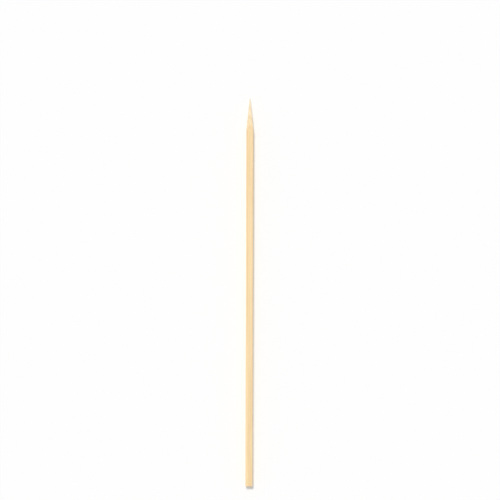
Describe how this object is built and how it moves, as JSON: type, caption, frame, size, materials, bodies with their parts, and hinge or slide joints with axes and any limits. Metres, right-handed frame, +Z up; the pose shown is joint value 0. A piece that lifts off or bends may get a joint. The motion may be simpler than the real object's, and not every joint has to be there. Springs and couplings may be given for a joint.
{
  "type": "bamboo skewer",
  "caption": "Square bamboo skewer: a straight solid stick with eased long edges, a slim four-sided point and a flat sawn end, for threading and grilling food.",
  "frame": {"origin": "on the surface that the skewer lies on, under the middle of its length and width", "axes": "+Y along the skewer from its sawn end to its point, +Z up, +X across it to the right of the point"},
  "size_m": [0.0064, 0.35, 0.0063],
  "materials": {
    "bamboo": "planed and unvarnished"
  },
  "bodies": {
    "root": {"skewer": "bamboo"}
  },
  "joints": []
}
